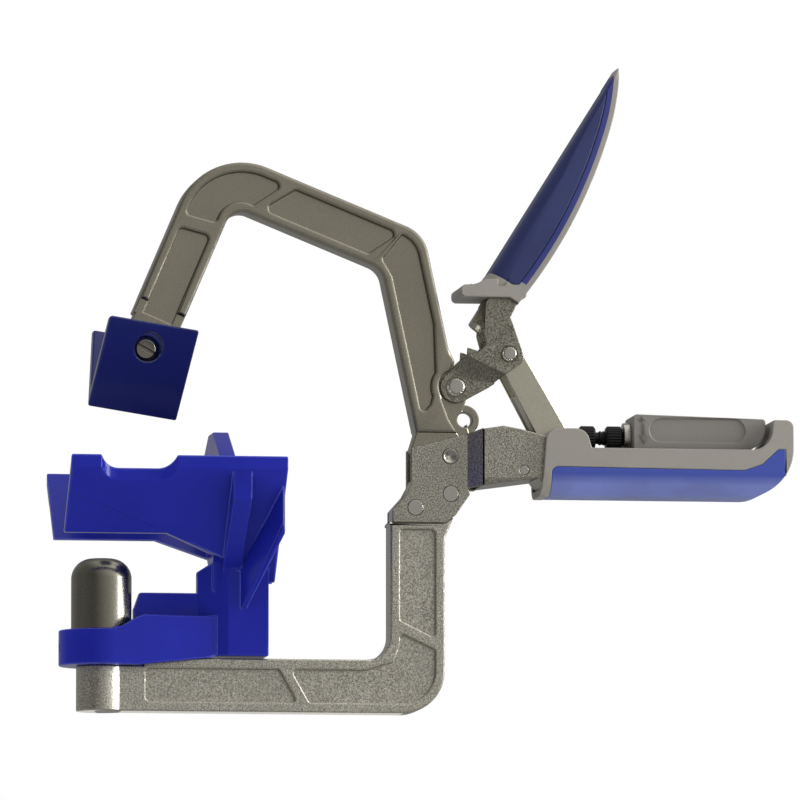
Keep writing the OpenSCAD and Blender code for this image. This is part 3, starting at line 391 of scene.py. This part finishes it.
def soften(node, name, slot, width, wallTop=None, rimShare=1.0, crumb=easeSizes["crumb"], look=None,
           outward=False):
    # the solid with its edges rounded off
    piece = copyOf(node, name, look or slot, crumb)
    bpy.ops.mesh.dissolve_degenerate(threshold=crumb * mm)
    bpy.ops.mesh.dissolve_limited(angle_limit=math.radians(easeSizes["flat"]))
    bpy.ops.object.mode_set(mode="OBJECT")
    weighEdges(piece.data, wallTop, rimShare, outward)
    ease = piece.modifiers.new("ease", "BEVEL")
    ease.limit_method = "WEIGHT"
    ease.width = width * mm
    ease.segments = easeSizes["segments"]
    ease.use_clamp_overlap = False
    ease.loop_slide = False
    ease.miter_outer = "MITER_SHARP"
    flats = piece.modifiers.new("flats", "WEIGHTED_NORMAL")
    flats.keep_sharp = True
    bpy.ops.object.modifier_apply(modifier="ease")
    smooth = easeSizes["smoothOutward"] if outward else easeSizes["smooth"]
    bpy.ops.object.shade_smooth_by_angle(angle=math.radians(smooth))
    bpy.ops.object.modifier_apply(modifier="flats")
    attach(piece, body_of(nodes[node])[0])
    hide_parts(node)


pocketSizes = {"top": 8 * mm, "floor": 2 * mm}
castings = {
    # width is the eased edge and crumb the merged distance, both in mm
    "lower_jaw": {"name": "lowerJawCasting", "slot": "cast", "look": "coarse", "width": 1.0,
                  "wallTop": pocketSizes, "rimShare": 0.6, "crumb": 0.03},
    "upper_jaw": {"name": "upperJawCasting", "slot": "cast", "width": 1.5,
                  "wallTop": pocketSizes, "rimShare": 0.4, "crumb": 0.05},
    "corner_block": {"name": "cornerBlock", "slot": "blue_paint", "width": 0.5, "crumb": 0.02},
}
for node, sizes in castings.items():
    soften(node, outward=True, **sizes)

pieceFinish = {
    # solid: finished piece, slot, eased edge in mm, own finish if any
    "corner_post": ("cornerPost", "cast", 0.5, "postSteel"),
    "set_screw": ("setScrew", "black", 0.2),
    "handle_channel": ("handleChannel", "stamped", 0.5),
    "frame_rivets": ("frameRivets", "bright", 0.25),
    "main_pivot_pin": ("mainPivotPin", "bright", 0.3),
    "handle_grip": ("handleGrip", "grey_moulding", 0.5),
    "handle_grip_inlay": ("handleGripInlay", "blue_insert", 0.35),
    "adjuster_cover": ("adjusterCover", "grey_moulding", 0.4, "coverGrey"),
    "cover_pins": ("coverPins", "bright", 0.2),
    "adjuster_collar": ("adjusterCollar", "bright", 0.3),
    "lock_wheel": ("lockWheel", "black", 0.15),
    "adjust_screw": ("adjustScrew", "black", 0.2),
    "thumb_wheel": ("thumbWheel", "black", 0.15),
    "spring_anchor": ("springAnchor", "bright", 0.2),
    # the pad takes the darker, painted-shade enamel
    "pad": ("swivelPad", "blue_paint", 0.9, "padShadedBlue"),
    "pad_screw": ("padScrew", "bright", 0.3, "postSteel"),
    "pad_nut": ("padNut", "bright", 0.3),
    # the lever takes the darker, painted-shade steel
    "lever": ("leverStamping", "stamped", 0.4, "leverShadedSteel"),
    "lever_grip": ("leverGrip", "grey_moulding", 0.5, "gripTwoTone"),
    "lever_grip_inlay": ("leverGripInlay", "blue_insert", 0.5, "leverBlue"),
    "lever_rivet": ("leverRivet", "bright", 0.9),
    "link_rivet": ("linkRivet", "bright", 1.0),
    "toggle_link": ("toggleLink", "stamped", 0.4, "linkSteel"),
    "foot_pin": ("footPin", "bright", 0.2),
    "slide_block": ("slideBlock", "bright", 0.3),
}
for node, (name, slot, width, *look) in pieceFinish.items():
    convexOnly = node in ("lever", "handle_channel")
    soften(node, name, slot, width, look=look[0] if look else None, outward=convexOnly)
print("solids finished:", len(castings) + len(pieceFinish))

springSizes = {"fixed": (0.1851, 0, 0.107), "moving": (0.1602, 0, 0.1298), "smooth": 60}


def returnSpring(sizes):
    # the wire stretches between its pin and the jaw's eye
    piece = copyOf("return_spring", "returnSpring", "spring", easeSizes["crumb"])
    bpy.ops.object.mode_set(mode="OBJECT")
    bpy.ops.object.shade_smooth_by_angle(angle=math.radians(sizes["smooth"]))
    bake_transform(piece, "frame", "upper_jaw", start=sizes["fixed"], end=sizes["moving"])
    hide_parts("return_spring")


returnSpring(springSizes)
print("spring made")

signSizes = {
    "face": -12.2 * mm,
    "raise": 0.45 * mm,
    "sink": 1.0 * mm,
    "edge": 0.12 * mm,
    "head": 2.5 * mm,
    "arrow": (238.8 * mm, 122.0 * mm),
    "shaft": (1.7 * mm, 5.2 * mm, 125.6 * mm),  # width, length, middle's height
    "plus": (238.0 * mm, 130.2 * mm),
    "bars": (3.0 * mm, 0.9 * mm),
}


def directionSign(sizes):
    # raised arrow and plus on the adjuster's cover
    deep = sizes["raise"] + sizes["sink"]
    mid = sizes["face"] - sizes["raise"] + deep / 2
    wide, tall, high = sizes["shaft"]
    long, thin = sizes["bars"]
    boxes = [
        (sizes["arrow"][0], high, wide, tall),
        (*sizes["plus"], long, thin),
        (*sizes["plus"], thin, long),
    ]
    made = []
    for x, z, across, up in boxes:
        bpy.ops.object.select_all(action="DESELECT")
        bpy.ops.mesh.primitive_cube_add(size=1, location=(x, mid, z), scale=(across, deep, up))
        made.append(bpy.context.object)
    bpy.ops.object.select_all(action="DESELECT")
    tip = (sizes["arrow"][0], mid, sizes["arrow"][1])
    bpy.ops.mesh.primitive_cylinder_add(vertices=3, radius=sizes["head"], depth=deep, location=tip,
                                        rotation=(-math.pi / 2, 0, 0))
    made.append(bpy.context.object)
    for part in made:
        part.select_set(True)
    bpy.ops.object.transform_apply(location=True, rotation=True, scale=True)
    bpy.ops.object.join()
    sign = bpy.context.object
    sign.name = "directionSign"
    ease = sign.modifiers.new("ease", "BEVEL")
    ease.width = sizes["edge"]
    ease.segments = 2
    bpy.ops.object.modifier_apply(modifier="ease")
    bpy.ops.object.shade_smooth_by_angle(angle=math.radians(easeSizes["smooth"]))
    # painted shade: the darker grey stands in for the shadow round the raised sign
    sign.data.materials.append(finishes["signShadedGrey"])
    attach(sign, "frame")


directionSign(signSizes)
print("sign raised")

studioSizes = {"half": 3.0, "back": 1.6, "top": 3.2, "round": 0.5, "near": 0.01}


def studioSweep(sizes):
    # pale floor that turns up into a backdrop
    bpy.ops.object.select_all(action="DESELECT")
    bpy.ops.mesh.primitive_plane_add(size=2 * sizes["half"], location=(0, sizes["back"] - sizes["half"], 0))
    sweep = bpy.context.object
    sweep.name = "studioSweep"
    bpy.ops.object.transform_apply(location=True)
    bpy.ops.object.mode_set(mode="EDIT")
    bpy.ops.mesh.select_mode(type="EDGE")
    bpy.ops.mesh.select_all(action="DESELECT")
    bpy.ops.object.mode_set(mode="OBJECT")
    for edge in sweep.data.edges:
        edge.select = all(sweep.data.vertices[i].co.y > sizes["back"] - sizes["near"] for i in edge.vertices)
    bpy.ops.object.mode_set(mode="EDIT")
    bpy.ops.mesh.extrude_region_move(TRANSFORM_OT_translate={"value": (0, 0, sizes["top"])})
    bpy.ops.object.mode_set(mode="OBJECT")
    for edge in sweep.data.edges:
        ends = [sweep.data.vertices[i].co for i in edge.vertices]
        edge.select = all(e.y > sizes["back"] - sizes["near"] and e.z < sizes["near"] for e in ends)
    bpy.ops.object.mode_set(mode="EDIT")
    bpy.ops.mesh.bevel(offset=sizes["round"], segments=12, affect="EDGES")
    bpy.ops.object.mode_set(mode="OBJECT")
    bpy.ops.object.shade_smooth()
    made, f = newFinish("studioPaper")
    camera = f.add("LightPath", out="Is Camera Ray")
    glossy = f.add("LightPath", out="Is Glossy Ray")
    through = f.add("LightPath", out="Is Transmission Ray")
    paper = f.add("BsdfDiffuse", links={"Color": tint(0.9, 0.9, 0.9)})
    glow = f.add("Emission", links={"Color": camera + through + glossy * 0.3, "Strength": 1.0})
    share = camera * 0.86 + glossy + through
    shader = f.add("MixShader", links={0: share, 1: paper, 2: glow})
    below = f.add("NewGeometry", out="Backfacing")  # the photo looks slightly up, past the floor's edge
    clear = f.add("BsdfTransparent")
    shader = f.add("MixShader", links={0: below * camera, 1: shader, 2: clear})
    f.add("OutputMaterial", links={"Surface": shader})
    sweep.data.materials.append(made)


studioSweep(studioSizes)

lampSizes = {
    # name: place, aimed at, size, watts
    "keyBox": ((1.5, -0.3, 0.4), (0.13, 0, 0.13), 0.9, 30),
    "fillBox": ((-0.7, -1.2, 1.0), (0.12, 0, 0.13), 1.0, 6.5),
    "topBox": ((0.35, -0.25, 1.5), (0.13, 0, 0.13), 0.9, 8),
    "rimBox": ((-0.75, 0.55, 0.5), (0.1, 0, 0.12), 0.7, 2),
}


def softBox(name, place, aim, size, watts):
    bpy.ops.object.select_all(action="DESELECT")
    bpy.ops.object.light_add(type="AREA", location=place)
    lamp = bpy.context.object
    lamp.name = name
    lamp.data.size = size
    lamp.data.energy = watts
    lamp.visible_glossy = name == "keyBox"
    lamp.rotation_euler = (Vector(aim) - Vector(place)).to_track_quat("-Z", "Y").to_euler()


for name, (place, aim, size, watts) in lampSizes.items():
    softBox(name, place, aim, size, watts)


def studioWorld():
    world = bpy.data.worlds.new("studioAir")
    bpy.context.scene.world = world
    world.use_nodes = True
    f = Finish(world.node_tree)
    camera = f.add("LightPath", out="Is Camera Ray")
    glossy = f.add("LightPath", out="Is Glossy Ray")
    through = f.add("LightPath", out="Is Transmission Ray")
    where = f.add("TexCoord", out="Generated")
    height = f.add("SeparateXYZ", links={0: where}, out="Z")
    right = f.add("SeparateXYZ", links={0: where}, out="X")
    away = f.add("SeparateXYZ", links={0: where}, out="Y")
    tent = f.ramp(height * 0.5 + 0.5, 0.3, 0.85, 0.75, 1.0) * f.ramp(right * 0.5 + 0.5, 0.25, 0.9, 0.25, 2.2)
    sky = tent * f.ramp(away * 0.5 + 0.5, 0.04, 0.45, 0.5, 1.0)  # the camera stands in a dark gap
    seen = camera + through
    light = 0.55 * (1 - seen - glossy) + glossy * sky + seen
    air = f.add("Background", links={"Color": light, "Strength": 1.0})
    f.add("OutputWorld", links={"Surface": air})


studioWorld()
print("studio lit")

cameraSizes = {"aim": (0.132, 0, 0.1386), "azimuth": -8.0, "elevation": -5.4, "away": 5.0, "across": 0.352,
               "sensor": 36, "near": 0.02}


def photoCamera(sizes):
    side = math.radians(sizes["azimuth"])
    rise = math.radians(sizes["elevation"])
    back = Vector((math.sin(side) * math.cos(rise), -math.cos(side) * math.cos(rise), math.sin(rise)))
    bpy.ops.object.select_all(action="DESELECT")
    bpy.ops.object.camera_add(location=Vector(sizes["aim"]) + back * sizes["away"])
    camera = bpy.context.object
    camera.name = "photoCamera"
    camera.rotation_euler = (-back).to_track_quat("-Z", "Y").to_euler()
    camera.data.sensor_width = sizes["sensor"]
    camera.data.lens = sizes["sensor"] * sizes["away"] / sizes["across"]
    camera.data.clip_start = sizes["near"]
    bpy.context.scene.camera = camera


photoCamera(cameraSizes)
bpy.context.scene.view_settings.view_transform = "Standard"
print("camera set")
